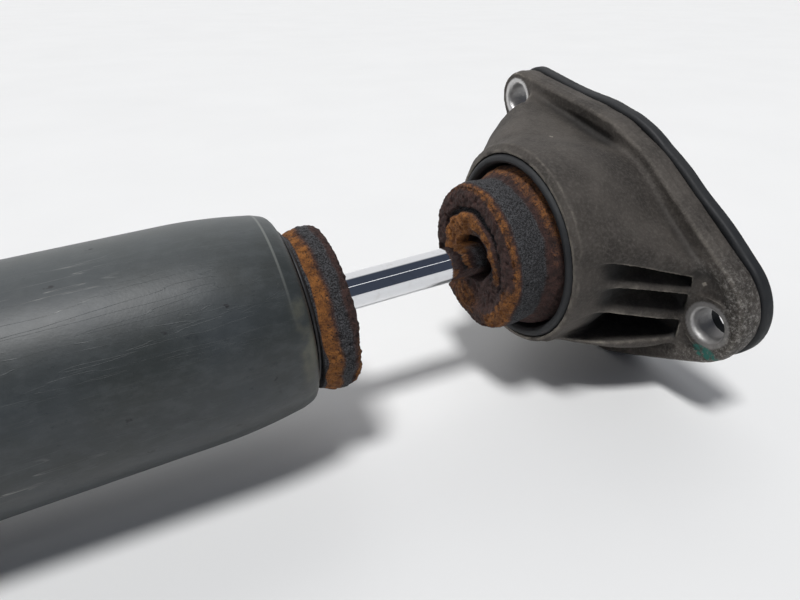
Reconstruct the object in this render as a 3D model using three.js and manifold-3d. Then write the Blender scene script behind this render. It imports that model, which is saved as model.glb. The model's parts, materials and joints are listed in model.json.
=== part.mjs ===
// Rear suspension damper with a two-bolt cast aluminium top mount, lying on its side.
// Millimetres. The strut's axis runs along +X towards the top mount, and +Z is up.
// Every piece is modelled with x = 0 at the damper tube's closed upper end and the rod's
// centreline on the X axis. The last lines tip the whole strut until the tube's lower end and
// the flange's lower edge both rest on the surface, and put the origin under the middle of it.
import * as THREE from "three";
import { ConvexGeometry } from "three/addons/geometries/ConvexGeometry.js";
import { mergeVertices } from "three/addons/utils/BufferGeometryUtils.js";
import Module from "manifold-3d";

const wasm = await Module();
wasm.setup();

// ---- Driving dimensions ----
const GAP = 0.3; // assembly gap between neighbouring pieces
const RUN = 0.15; // radial running clearance on the rod

const ROD_R = 6.25; // 12.5 mm chromed rod
const THREAD_R = 5; // M10 ends
const TUBE_R = 33.5; // outer tube
const TUBE_WALL = 2;
const TUBE_LENGTH = 290;
const BORE_R = 18.2; // working cylinder's bore
const STROKE_OUT = 100; // travel left to full extension

const STRIKER_TOP = 1.4; // cap on the tube that the bump stop's lower half sits on
const RING_FRONT = 13.6; // broken-off lower half of the bump stop ends here
const STOP_FACE = 66; // torn face of the upper half
const COLLAR = 84; // front edge of the mount's collar
const COLLAR_R = 36.4;
const FLANGE_FRONT = 129;
const FLANGE_BACK = 138;
const GASKET = 5;
const BOLT_HOLE_R = 5.9;
const SPOT_FACE_R = 7.8;
const UPPER_BOLT = { y: 59.7, z: 37.7 };
const LOWER_BOLT = { y: -53.6, z: -19 };
// The flange's outline is the tightest loop round these circles, listed anticlockwise.
const UPPER_LOBE = { y: 59.7, z: 37.7, r: 10.5 };
const SHOULDER = { y: 10, z: 14.5, r: 25.2 }; // bulge between the hub and the upper lobe
const HUB = { y: 0, z: 0, r: 34.2 };
const LOWER_LOBE = { y: -44.5, z: -15.8, r: 20.8 };
const FOOT_CIRCLES = [
  { y: -5, z: -36, r: 20 },
  { y: 24, z: -36, r: 20 },
]; // the flange's flat lower edge runs under these

const EYE_X = -324; // lower eye's centre
const EYE_R = 21.5;
const EYE_WIDTH = 34;
const SLEEVE_LENGTH = 46;

const ROUND = 32; // sides on a large round piece
const SMALL = 16; // sides on a small round piece

// ---- Materials ----
const material = (color, roughness, metalness) =>
  new THREE.MeshStandardMaterial({ color, roughness, metalness });
const coatedSteel = material(0x3f4648, 0.55, 0.2);
const blackSteel = material(0x1b1c1e, 0.5, 0.4);
const chrome = material(0xd8dadd, 0.08, 1);
const castAluminium = material(0x6c6660, 0.6, 0.7);
const zincSteel = material(0xa9a9a4, 0.4, 0.9);
const sintered = material(0x5e5c58, 0.7, 0.8);
const bronze = material(0xa5743c, 0.5, 0.8);
const ptfe = material(0x2f3a34, 0.5, 0);
const rubber = material(0x17191b, 0.8, 0);
const foam = material(0x7d431b, 0.95, 0);

// ---- Shape helpers ----
// A round piece about the X axis. The profile lists [x, radius] corners once round the section.
function turned(profile, sides = ROUND) {
  const points = profile.map(([x, r]) => new THREE.Vector2(r, x));
  if (THREE.ShapeUtils.area(points) < 0) points.reverse();
  points.push(points[0].clone());
  return new THREE.LatheGeometry(points, sides).rotateZ(-Math.PI / 2);
}

// A plain ring or, with inner = 0, a disc about the X axis.
function ring(x0, x1, inner, outer, sides) {
  return turned([[x0, inner], [x1, inner], [x1, outer], [x0, outer]], sides);
}

// [x, radius] points round an outer corner, from its outermost point to its end face.
function quarter(x, r, dx, dr, steps) {
  const points = [];
  for (let i = steps; i >= 0; i--) {
    const angle = (Math.PI / 2) * (i / steps);
    points.push([x + dx * Math.cos(angle), r + dr * Math.sin(angle)]);
  }
  return points;
}

// Turns a shape drawn in (y, z) into a slab from x0 to x1.
const ACROSS = new THREE.Matrix4().makeBasis(
  new THREE.Vector3(0, 1, 0),
  new THREE.Vector3(0, 0, 1),
  new THREE.Vector3(1, 0, 0),
);
function slab(shape, x0, x1) {
  const geometry = new THREE.ExtrudeGeometry(shape, {
    depth: x1 - x0,
    bevelEnabled: false,
    curveSegments: 8,
  });
  return geometry.applyMatrix4(ACROSS).translate(x0, 0, 0);
}

function solid(geometry) {
  const bare = new THREE.BufferGeometry();
  bare.setAttribute("position", geometry.getAttribute("position").clone());
  if (geometry.index) bare.setIndex(geometry.index);
  const merged = mergeVertices(bare, 1e-3);
  return new wasm.Manifold(
    new wasm.Mesh({
      numProp: 3,
      vertProperties: new Float32Array(merged.attributes.position.array),
      triVerts: new Uint32Array(merged.index.array),
    }),
  );
}

function geometryOf(made) {
  const mesh = made.getMesh();
  const geometry = new THREE.BufferGeometry();
  geometry.setAttribute("position", new THREE.BufferAttribute(mesh.vertProperties, 3));
  geometry.setIndex(new THREE.BufferAttribute(mesh.triVerts, 1));
  return geometry;
}

// The convex outline round circles that are listed anticlockwise, grown by margin.
function beltOutline(circles, margin) {
  const normals = circles.map((a, i) => {
    const b = circles[(i + 1) % circles.length];
    const along = Math.atan2(b.z - a.z, b.y - a.y);
    return along - Math.acos((a.r - b.r) / Math.hypot(b.y - a.y, b.z - a.z));
  });
  const shape = new THREE.Shape();
  circles.forEach((c, i) => {
    const start = normals[(i + circles.length - 1) % circles.length];
    shape.absarc(c.y, c.z, c.r + margin, start, normals[i], false);
  });
  shape.closePath();
  return shape;
}

const strut = new THREE.Group();
function add(name, geometry, finish) {
  const mesh = new THREE.Mesh(geometry, finish);
  mesh.name = name;
  strut.add(mesh);
  return mesh;
}

// ---- Damper tube and what closes it ----
const TUBE_IN = TUBE_R - TUBE_WALL;
const TAPER = -26; // the tube draws in from here to its closed end
const ROLL_START = -5.5; // where the rolled end begins
const MOUTH_R = 20; // opening left in the rolled end

add("outer_tube", turned([
  [-TUBE_LENGTH, TUBE_R],
  [TAPER, TUBE_R],
  [-15, 32.4],
  [ROLL_START, 31.2],
  ...quarter(ROLL_START, 25.7, -ROLL_START, 5.5, 5).slice(1),
  [0, MOUTH_R],
  [-TUBE_WALL, MOUTH_R],
  [-TUBE_WALL, 24],
  [-6.5, 29.1],
  [-16, 30.4],
  [TAPER - 1, TUBE_IN],
  [-TUBE_LENGTH, TUBE_IN],
]), coatedSteel);

const CAP_LOW = -300; // bottom of the dished cap, which stands out of the tube's open end
const CAP_TOP = -284;
add("base_cap", turned([
  [CAP_LOW, 0],
  [CAP_LOW + 1, 14],
  [CAP_LOW + 6, 24],
  [-TUBE_LENGTH - 1, TUBE_IN - GAP],
  [CAP_TOP, TUBE_IN - GAP],
  [CAP_TOP, TUBE_IN - 3.3],
  [CAP_TOP - 4, 23],
  [CAP_LOW + 7, 13],
  [CAP_LOW + 6, 0],
]), coatedSteel);

add("striker_cap", turned([
  [GAP, ROD_R + 1],
  [GAP, 25.4],
  [STRIKER_TOP - 0.6, 25.4],
  [STRIKER_TOP, 24.6],
  [STRIKER_TOP, ROD_R + 1],
]), blackSteel);

// ---- Rod guide, its bush and the seal ----
const GUIDE_LOW = -28;
const CYLINDER_TOP = -20;
add("rod_guide", turned([
  [GUIDE_LOW, 7.7],
  [GUIDE_LOW, BORE_R - GAP],
  [CYLINDER_TOP + GAP, BORE_R - GAP],
  [CYLINDER_TOP + GAP, 28.6],
  [-8.2, 28.6],
  [-8.2, 7.7],
]), sintered);
add("guide_bush", ring(GUIDE_LOW + 1, -12, ROD_R + RUN, 7.5, SMALL), bronze);
add("rod_seal", turned([
  [-7.9, ROD_R + RUN],
  [-7.9, 9.8],
  [-3.7, 9.8],
  [-3.7, 12.3],
  [-7.9, 12.3],
  [-7.9, 23.6],
  [-TUBE_WALL - GAP, 23.6],
  [-TUBE_WALL - GAP, 9.5],
  [-3.2, ROD_R + RUN],
]), rubber);
add("seal_garter_spring", ring(-6.2, -4.2, 10.1, 12, ROUND), zincSteel);

// ---- Working cylinder and foot valve ----
const CYLINDER_LOW = -272;
const CYLINDER_WALL = 1.8;
const FOOT_TOP = -264;
add("working_cylinder", ring(CYLINDER_LOW, CYLINDER_TOP, BORE_R, BORE_R + CYLINDER_WALL), zincSteel);

const PIN_R = 3;
const PASSAGE_R = 2;
const PASSAGES = 6;
// Oil passages through a valve body, on a circle about the axis.
function drilled(body, circleR, x0, x1) {
  let made = body;
  for (let i = 0; i < PASSAGES; i++) {
    const angle = (2 * Math.PI * i) / PASSAGES;
    const hole = ring(x0, x1, 0, PASSAGE_R, 10);
    hole.translate(0, circleR * Math.cos(angle), circleR * Math.sin(angle));
    made = made.subtract(solid(hole));
  }
  return made;
}
const footBody = solid(turned([
  [-282, PIN_R + GAP],
  [-282, 26],
  [-278, 26],
  [CYLINDER_LOW - GAP, 21],
  [CYLINDER_LOW - GAP, BORE_R - GAP],
  [FOOT_TOP, BORE_R - GAP],
  [FOOT_TOP, PIN_R + GAP],
]));
add("foot_valve_body", geometryOf(drilled(footBody, 11, -290, -255)), sintered);
add("foot_valve_pin", turned([
  [-285.3, 0],
  [-285.3, 6],
  [-283.9, 6],
  [-283.9, PIN_R],
  [-260.5, PIN_R],
  [-260.5, 9],
  [-259, 9],
  [-259, 0],
], SMALL), zincSteel);
add("foot_valve_shims", ring(-283.6, -282.3, PIN_R + GAP, 14, SMALL), zincSteel);
const CHECK_PLATE = 0.9;
add("foot_check_plate",
  ring(FOOT_TOP + GAP, FOOT_TOP + GAP + CHECK_PLATE, PIN_R + GAP, 14.5, SMALL), zincSteel);

// ---- Piston assembly, on the rod's lower spigot ----
const BUMPER_TOP = GUIDE_LOW - STROKE_OUT - 0.4;
const BUMPER_LOW = BUMPER_TOP - 8;
const COLLAR_LOW = BUMPER_LOW - GAP - 4;
const SPIGOT = COLLAR_LOW - 3; // rod shoulder that the piston stack bears on
const WASHER_LOW = SPIGOT - GAP - 3;
const SHIM = 1.6;
const PISTON_TOP = WASHER_LOW - SHIM - 2 * GAP;
const PISTON_LOW = PISTON_TOP - 14;
const NUT_TOP = PISTON_LOW - SHIM - 2 * GAP;
const NUT_LOW = NUT_TOP - 8;
const BAND = { top: PISTON_TOP - 4, low: PISTON_TOP - 10, inner: 16.8, outer: BORE_R - RUN };
const SPIGOT_R = THREAD_R + 0.2; // bore of what sits on a threaded end

add("rebound_bumper", ring(BUMPER_LOW, BUMPER_TOP, ROD_R + RUN, 12, SMALL), rubber);
add("rebound_collar", ring(COLLAR_LOW, COLLAR_LOW + 4, ROD_R + RUN, 11, SMALL), zincSteel);
add("piston_washer", ring(WASHER_LOW, WASHER_LOW + 3, SPIGOT_R, 10, SMALL), zincSteel);
add("rebound_shims", ring(PISTON_TOP + GAP, PISTON_TOP + GAP + SHIM, SPIGOT_R, 13, SMALL), zincSteel);
const pistonBody = solid(turned([
  [PISTON_LOW, SPIGOT_R],
  [PISTON_LOW, 17.7],
  [BAND.low - RUN, 17.7],
  [BAND.low - RUN, BAND.inner - RUN],
  [BAND.top + RUN, BAND.inner - RUN],
  [BAND.top + RUN, 17.7],
  [PISTON_TOP, 17.7],
  [PISTON_TOP, SPIGOT_R],
]));
add("piston", geometryOf(drilled(pistonBody, 10, PISTON_LOW - 5, PISTON_TOP + 5)), sintered);
add("piston_band", ring(BAND.low, BAND.top, BAND.inner, BAND.outer), ptfe);
add("compression_shims",
  ring(PISTON_LOW - GAP - SHIM, PISTON_LOW - GAP, SPIGOT_R, 12, SMALL), zincSteel);

// A hexagon nut on a threaded end; the corners lie on a circle of this radius.
const NUT_CORNER_R = 9.8;
function nut(x0, x1) {
  const shape = new THREE.Shape();
  for (let i = 0; i < 6; i++) {
    const angle = (Math.PI / 3) * i;
    const point = [NUT_CORNER_R * Math.cos(angle), NUT_CORNER_R * Math.sin(angle)];
    if (i === 0) shape.moveTo(...point);
    else shape.lineTo(...point);
  }
  shape.closePath();
  const hole = new THREE.Path();
  hole.absarc(0, 0, SPIGOT_R, 0, 2 * Math.PI, true);
  shape.holes.push(hole);
  return slab(shape, x0, x1);
}
add("piston_nut", nut(NUT_LOW, NUT_TOP), zincSteel);

// ---- Rod ----
const ROD_SHOULDER = 104.5; // upper shoulder that the mount clamps against
const ROD_TOP = 136;
add("piston_rod", turned([
  [NUT_LOW - 2, 0],
  [NUT_LOW - 2, THREAD_R - 1],
  [NUT_LOW - 1, THREAD_R],
  [SPIGOT, THREAD_R],
  [SPIGOT, ROD_R],
  [ROD_SHOULDER, ROD_R],
  [ROD_SHOULDER, THREAD_R],
  [ROD_TOP - 1, THREAD_R],
  [ROD_TOP, THREAD_R - 1],
  [ROD_TOP, 0],
], SMALL), chrome);

// ---- Bump stop, broken in two ----
const FOAM_ROUND = 3.8; // worn front edge of the lower half
add("bump_stop_lower_half", turned([
  [STRIKER_TOP + GAP, 7.4],
  [STRIKER_TOP + GAP, 24.6],
  [3.8, 25],
  [6.4, 26],
  ...quarter(RING_FRONT - FOAM_ROUND, 26.4 - FOAM_ROUND, FOAM_ROUND, FOAM_ROUND, 3),
  [RING_FRONT, 7.8],
]), foam);
const CUP_FLOOR = 94.5;
add("bump_stop_upper_half", turned([
  [STOP_FACE, 9.6],
  [STOP_FACE, 24],
  [67, 25.9],
  [70, 26.8],
  [77.5, 26.7],
  [80.5, 25.7],
  [83, 28.2],
  [87, 29.9],
  [CUP_FLOOR - GAP, 29.8],
  [CUP_FLOOR - GAP, 8.4],
  [76, 8.4],
]), foam);

// ---- Top mount ----
const CUP_R = 34.1;
const CUP_BACK = 97.5;
add("bump_stop_cup", turned([
  [CUP_FLOOR, 12],
  [CUP_FLOOR, 30.5],
  [COLLAR + 0.6, 30.8],
  [COLLAR - 0.8, 31.6],
  [COLLAR - 0.8, 33.2],
  [COLLAR + 0.6, CUP_R],
  [CUP_BACK, CUP_R],
  [CUP_BACK, 12],
]), rubber);

const BULKHEAD = 104; // the housing's inner wall lies between the cup and the isolator
const BULKHEAD_HOLE_R = 20;
const PLATE_SEAT = 132;
const PLATE_R = 27.6;
const ISOLATOR_R = 25.4;
const CORE_R = 12.7;
const CORE_PLAY = 0.6; // room for the core to lean a little in the rubber

const flangeCircles = [UPPER_LOBE, SHOULDER, HUB, LOWER_LOBE, ...FOOT_CIRCLES];

const WEB_HUB_R = 29.2; // the hub's radius where it meets the flange
const WEB_ARC = [40, 250]; // degrees of the collar that the web springs from
// The web spreads to these circles on the flange, inside the rim.
const WEB_FEET = [
  { y: 59.7, z: 37.7, r: 8 },
  { y: 0, z: 0, r: WEB_HUB_R },
  { y: -50, z: -19, r: 13.5 },
];

// The web is the convex body between the collar and a slimmer outline on the flange.
function web() {
  const points = [];
  const arc = (x, { y, z, r }, from, to) => {
    for (let i = 0; i <= ROUND; i++) {
      const angle = THREE.MathUtils.degToRad(from + (to - from) * (i / ROUND));
      points.push(new THREE.Vector3(x, y + r * Math.cos(angle), z + r * Math.sin(angle)));
    }
  };
  arc(COLLAR + 3, { y: 0, z: 0, r: COLLAR_R - 0.4 }, ...WEB_ARC);
  for (const circle of WEB_FEET) arc(FLANGE_FRONT + 1, circle, 0, 360);
  return new ConvexGeometry(points);
}

// Three pockets in the web beside the lower lobe leave two ribs and two outer walls.
// Corners are [towards the lobe, across it], measured from the rod's axis.
const LOBE_ANGLE = Math.atan2(LOWER_BOLT.z, LOWER_BOLT.y);
const POCKETS = [
  [[29, -19.5], [36, -16.8], [44.3, -12.4], [45.4, -8.1], [29, -13.1]],
  [[29, -10.6], [46, -5.4], [47.9, 3.4], [29, -4.3]],
  [[29, -1.8], [48.6, 6.4], [50.6, 13.4], [29, 16.8]],
];
function pocket(corners) {
  const turn = (along, across) => [
    along * Math.cos(LOBE_ANGLE) - across * Math.sin(LOBE_ANGLE),
    along * Math.sin(LOBE_ANGLE) + across * Math.cos(LOBE_ANGLE),
  ];
  return slab(new THREE.Shape(corners.map(([u, v]) => new THREE.Vector2(...turn(u, v)))),
    COLLAR - 10, FLANGE_FRONT + 0.5);
}

// The ribs' tops fall from the collar to the flange along one slanted plane.
const RIB_TOP = 94; // x where the plane is RIB_START from the rod's axis
const RIB_START = 36.6;
const RIB_SLOPE = 2.9; // distance along x for each millimetre outwards
const RIB_SKEW = 0.2; // shift outwards for each millimetre across
function ribPlane() {
  const normal = new THREE.Vector3(
    1 / RIB_SLOPE,
    -Math.cos(LOBE_ANGLE) - RIB_SKEW * Math.sin(LOBE_ANGLE),
    RIB_SKEW * Math.cos(LOBE_ANGLE) - Math.sin(LOBE_ANGLE),
  );
  const offset = (RIB_TOP / RIB_SLOPE - RIB_START) / normal.length();
  return [normal.normalize().toArray(), offset];
}

// Room for a bolt head in front of the flange, then the chamfered hole.
const HEAD_ROOM_R = SPOT_FACE_R + 1.4;
const CHAMFER = 1.6;
function boltCutter({ y, z }) {
  return solid(turned([
    [COLLAR - 10, 0],
    [COLLAR - 10, HEAD_ROOM_R],
    [FLANGE_FRONT, HEAD_ROOM_R],
    [FLANGE_FRONT, SPOT_FACE_R],
    [FLANGE_FRONT + CHAMFER, BOLT_HOLE_R],
    [FLANGE_BACK + 10, BOLT_HOLE_R],
    [FLANGE_BACK + 10, 0],
  ], SMALL).translate(0, y, z));
}

function housing() {
  let made = solid(web()).trimByPlane(...ribPlane());
  for (const corners of POCKETS) made = made.subtract(solid(pocket(corners)));
  const hub = turned([
    [COLLAR, 0],
    [COLLAR, COLLAR_R - 0.8],
    [COLLAR + 1, COLLAR_R],
    [COLLAR + 5, COLLAR_R],
    [CUP_BACK + 3, COLLAR_R - 0.2],
    [FLANGE_FRONT, WEB_HUB_R],
    [FLANGE_FRONT, 0],
  ]);
  made = made.add(solid(hub));
  made = made.add(solid(slab(beltOutline(flangeCircles, 0), FLANGE_FRONT, FLANGE_BACK)));
  const bore = turned([
    [COLLAR - 5, 0],
    [COLLAR - 5, CUP_R + GAP],
    [CUP_BACK + GAP, CUP_R + GAP],
    [CUP_BACK + GAP, BULKHEAD_HOLE_R],
    [BULKHEAD, BULKHEAD_HOLE_R],
    [BULKHEAD, ISOLATOR_R],
    [PLATE_SEAT, ISOLATOR_R],
    [PLATE_SEAT, PLATE_R],
    [FLANGE_BACK + 5, PLATE_R],
    [FLANGE_BACK + 5, 0],
  ]);
  made = made.subtract(solid(bore));
  return made.subtract(boltCutter(UPPER_BOLT)).subtract(boltCutter(LOWER_BOLT));
}
add("mount_housing", geometryOf(housing()), castAluminium);

add("isolator_rubber", turned([
  [BULKHEAD + GAP, 15],
  [BULKHEAD + GAP, ISOLATOR_R - GAP],
  [PLATE_SEAT - GAP, ISOLATOR_R - GAP],
  [PLATE_SEAT - 4, 20],
  [PLATE_SEAT - GAP, 13.2],
  [PLATE_SEAT - 4, CORE_R + CORE_PLAY],
  [BULKHEAD + 3, CORE_R + CORE_PLAY],
]), rubber);
const WASHER_R = 12.4;
const CORE_LOW = ROD_SHOULDER + 3;
const CORE_TOP = 126.5;
const STACK_TOP = CORE_TOP + GAP + 2.5; // the nut clamps both washers and the core to the rod
add("front_washer", ring(ROD_SHOULDER + GAP, CORE_LOW - GAP, SPIGOT_R, WASHER_R, SMALL), zincSteel);
add("isolator_core", ring(CORE_LOW, CORE_TOP, SPIGOT_R, CORE_R, SMALL), blackSteel);
add("rear_washer", ring(CORE_TOP + GAP, STACK_TOP, SPIGOT_R, WASHER_R, SMALL), zincSteel);
add("rod_nut", nut(STACK_TOP + GAP, STACK_TOP + GAP + 7.8), zincSteel);
add("retainer_plate", ring(PLATE_SEAT + GAP, PLATE_SEAT + 2.8, 14, PLATE_R - GAP), zincSteel);

const GASKET_FRONT = FLANGE_BACK + GAP;
const GASKET_GROWTH = 1; // the gasket stands proud of the flange's edge
const GASKET_HOLE_R = 7.5;
function gasket() {
  const shape = beltOutline(flangeCircles, GASKET_GROWTH);
  for (const [y, z, r] of [
    [0, 0, PLATE_R + 0.5],
    [UPPER_BOLT.y, UPPER_BOLT.z, GASKET_HOLE_R],
    [LOWER_BOLT.y, LOWER_BOLT.z, GASKET_HOLE_R],
  ]) {
    const hole = new THREE.Path();
    hole.absarc(y, z, r, 0, 2 * Math.PI, true);
    shape.holes.push(hole);
  }
  return slab(shape, GASKET_FRONT, GASKET_FRONT + GASKET);
}
add("flange_gasket", gasket(), rubber);

// ---- Lower eye and its rubber bush, across the strut along Y ----
const SHELL_R = 16.8;
const BUSH_R = 15.1;
const SLEEVE_R = 8.2;
const SLEEVE_BORE_R = 6.1;
const acrossEye = (geometry) => geometry.rotateZ(Math.PI / 2).translate(EYE_X, 0, 0);
const EYE_HALF = EYE_WIDTH / 2;

const eyeRing = solid(acrossEye(ring(-EYE_HALF, EYE_HALF, 0, EYE_R)));
const NECK_TOP = CAP_LOW - GAP;
const neck = solid(turned([[EYE_X, 0], [EYE_X, 13], [NECK_TOP, 11], [NECK_TOP, 0]], SMALL));
const eyeBore = solid(acrossEye(ring(-EYE_HALF - 5, EYE_HALF + 5, 0, SHELL_R + GAP)));
add("lower_eye", geometryOf(eyeRing.add(neck).subtract(eyeBore)), coatedSteel);
add("bush_shell", acrossEye(ring(-EYE_HALF, EYE_HALF, BUSH_R + GAP, SHELL_R)), zincSteel);
add("bush_rubber", acrossEye(turned([
  [-EYE_HALF - 2, SLEEVE_R + RUN],
  [-EYE_HALF - 2, 10.5],
  [-EYE_HALF + 1, BUSH_R],
  [EYE_HALF - 1, BUSH_R],
  [EYE_HALF + 2, 10.5],
  [EYE_HALF + 2, SLEEVE_R + RUN],
])), rubber);
add("bush_sleeve",
  acrossEye(ring(-SLEEVE_LENGTH / 2, SLEEVE_LENGTH / 2, SLEEVE_BORE_R, SLEEVE_R, SMALL)), zincSteel);

// ---- Placing: the tube's lower end and the gasket's lower edge both touch the surface ----
const flangeDrop = GASKET_GROWTH + Math.max(...FOOT_CIRCLES.map(({ z, r }) => r - z));
strut.rotation.y = -Math.atan2(flangeDrop - TUBE_R, GASKET_FRONT + TUBE_LENGTH);
const box = new THREE.Box3().setFromObject(strut, true);
const middle = box.getCenter(new THREE.Vector3());
strut.position.set(-middle.x, -middle.y, -box.min.z);

export default strut;
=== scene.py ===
"""The looks of the strut assembly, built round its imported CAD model.

Shapes are made in the strut's own frame, in millimetres: x runs along the rod's axis from the
closed end of the damper tube, y is across and z is up from the axis. TURN and ORIGIN take that frame
into the row frame, in metres.
"""

import json
import math

import bmesh
import bpy
import numpy as np
from mathutils import Matrix, Vector


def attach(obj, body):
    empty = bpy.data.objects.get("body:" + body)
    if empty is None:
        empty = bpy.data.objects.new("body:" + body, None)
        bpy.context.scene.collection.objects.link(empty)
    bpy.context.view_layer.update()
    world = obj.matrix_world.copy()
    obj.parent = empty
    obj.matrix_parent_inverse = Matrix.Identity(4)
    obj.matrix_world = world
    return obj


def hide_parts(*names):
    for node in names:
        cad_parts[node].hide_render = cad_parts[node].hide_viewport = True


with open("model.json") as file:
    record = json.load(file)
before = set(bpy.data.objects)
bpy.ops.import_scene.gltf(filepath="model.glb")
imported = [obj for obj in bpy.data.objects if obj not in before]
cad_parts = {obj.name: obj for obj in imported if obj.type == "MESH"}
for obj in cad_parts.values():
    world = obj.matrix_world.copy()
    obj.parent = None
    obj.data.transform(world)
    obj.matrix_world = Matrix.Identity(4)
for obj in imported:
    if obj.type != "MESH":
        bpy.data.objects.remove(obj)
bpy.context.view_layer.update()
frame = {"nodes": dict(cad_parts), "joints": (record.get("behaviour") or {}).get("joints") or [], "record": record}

# ---- The strut's frame, from the joint that turns the damper about the rod ----
MM = 0.001
spin = next(joint for joint in frame["joints"] if joint["name"] == "body_spin")
ORIGIN = Vector(spin["pos_m"])
ALONG = Vector(spin["axis"])
ACROSS = Vector((0, 1, 0))
UP = ALONG.cross(ACROSS)
TURN = Matrix((ALONG, ACROSS, UP)).transposed()
EYE_X = -324
SIGHT = math.radians(63.4)  # roll about the axis, from y towards z, that is straight up in the view

# ---- Driving dimensions, as in the CAD, in millimetres ----
TUBE_R, TUBE_IN, TUBE_END = 33.5, 31.5, -290
ROD_R, THREAD_R = 6.25, 5
COLLAR, COLLAR_R = 84, 36.4
CUP_R, CUP_FLOOR, CUP_BACK = 34.1, 94.5, 97.5
BULKHEAD, PLATE_SEAT, PLATE_R, ISOLATOR_R = 104, 132, 27.6, 25.4
CORE_R = 12.7
FLANGE_FRONT, FLANGE_BACK, GASKET = 129, 138, 5
GAP = 0.3
STRIKER_TOP, RING_FRONT, STOP_FACE = 1.4, 13.6, 66
UPPER_BOLT, LOWER_BOLT = (59.7, 37.7), (-53.6, -19)
BOLT_R, SPOT_R = 5.9, 7.8
# the flange's outline runs round these circles: (y, z, radius)
UPPER_LOBE, SHOULDER, HUB = (59.7, 37.7, 10.5), (10, 14.5, 25.2), (0, 0, 34.2)
LOWER_LOBE, FEET = (-44.5, -15.8, 20.8), [(-5, -36, 20), (24, -36, 20)]
FLANGE = [UPPER_LOBE, SHOULDER, HUB, LOWER_LOBE, *FEET]
LOBE_ANGLE = math.atan2(LOWER_BOLT[1], LOWER_BOLT[0])


# ---- Noise and distance fields ----
def lattice(cells, seed):
    """A fixed random number from -1 to 1 for each whole-number cell."""
    mixed = cells[0] * 73856093 ^ cells[1] * 19349663 ^ cells[2] * 83492791 ^ (seed * 2654435761)
    mixed = (mixed ^ (mixed >> 13)) * 1274126177 & 0x7FFFFFFF
    return (mixed ^ (mixed >> 16)) % 65536 / 32767.5 - 1


def grain(points, size, seed=1):
    """Smooth noise from -1 to 1 whose lumps are about size millimetres across."""
    place = np.asarray(points).T / size
    cell = np.floor(place).astype(np.int64)
    part = place - cell
    part = part * part * (3 - 2 * part)
    total = 0
    for corner in np.ndindex(2, 2, 2):
        weight = 1
        for axis in range(3):
            weight = weight * (part[axis] if corner[axis] else 1 - part[axis])
        total = total + weight * lattice(cell + np.array(corner)[:, None], seed)
    return total


def step(value, low, high):
    """0 below low, 1 above high and a smooth rise between."""
    share = np.clip((value - low) / (high - low), 0, 1)
    return share * share * (3 - 2 * share)


def soft_min(a, b, radius):
    """The union of two distance fields with a fillet between them."""
    near = np.maximum(radius - np.abs(a - b), 0) / radius
    return np.minimum(a, b) - near * near * radius / 4


def soft_cut(a, b, radius):
    """Field a with field b cut out of it and the edge rounded."""
    return -soft_min(-a, b, radius)


def belt(y, z, first, second):
    """Distance to the outline round two circles given as (y, z, radius)."""
    ahead, aside = second[0] - first[0], second[1] - first[1]
    length = np.hypot(ahead, aside)
    ahead, aside = ahead / length, aside / length
    along = (y - first[0]) * ahead + (z - first[1]) * aside
    off = np.abs((y - first[0]) * aside - (z - first[1]) * ahead)
    slope = (first[2] - second[2]) / length
    level = np.sqrt(np.maximum(1 - slope * slope, 1e-6))
    k = level * along - slope * off
    side = level * off + slope * along - first[2]
    start = np.hypot(along, off) - first[2]
    end = np.hypot(along - length, off) - second[2]
    return np.where(k < 0, start, np.where(k > level * length, end, side))


def outline(y, z):
    """Distance to the flange's outline, the tightest loop round its circles."""
    reach = np.full(np.broadcast(y, z).shape, -1e9)
    for angle in np.radians(np.arange(0, 360, 3)):
        ny, nz = math.cos(angle), math.sin(angle)
        support = max(cy * ny + cz * nz + r for cy, cz, r in FLANGE)
        reach = np.maximum(reach, y * ny + z * nz - support)
    return reach


def polygon(u, v, corners):
    """Distance to a polygon whose corners run round it."""
    nearest = np.full(np.broadcast(u, v).shape, 1e9)
    sign = np.ones(nearest.shape)
    for (au, av), (bu, bv) in zip(corners, corners[1:] + corners[:1]):
        eu, ev = bu - au, bv - av
        wu, wv = u - au, v - av
        share = np.clip((wu * eu + wv * ev) / (eu * eu + ev * ev), 0, 1)
        nearest = np.minimum(nearest, (wu - eu * share) ** 2 + (wv - ev * share) ** 2)
        above, below, left = v >= av, v < bv, eu * wv > ev * wu
        crosses = (above & below & left) | (~above & ~below & ~left)
        sign = np.where(crosses, -sign, sign)
    return sign * np.sqrt(nearest)


def slab(across, x, low, high, radius=0.0):
    """Distance to a flat plate with rounded edges: a flat outline's distance, from low to high."""
    through = np.maximum(low - x, x - high) + radius
    across = across + radius
    outside = np.hypot(np.maximum(across, 0), np.maximum(through, 0))
    return outside + np.minimum(np.maximum(across, through), 0) - radius


def grid(low, high, size):
    """Coordinates of a box of grid points, as three arrays that broadcast together."""
    lines = [np.arange(a, b + size, size) for a, b in zip(low, high)]
    return np.meshgrid(*lines, indexing="ij", sparse=True)


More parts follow.
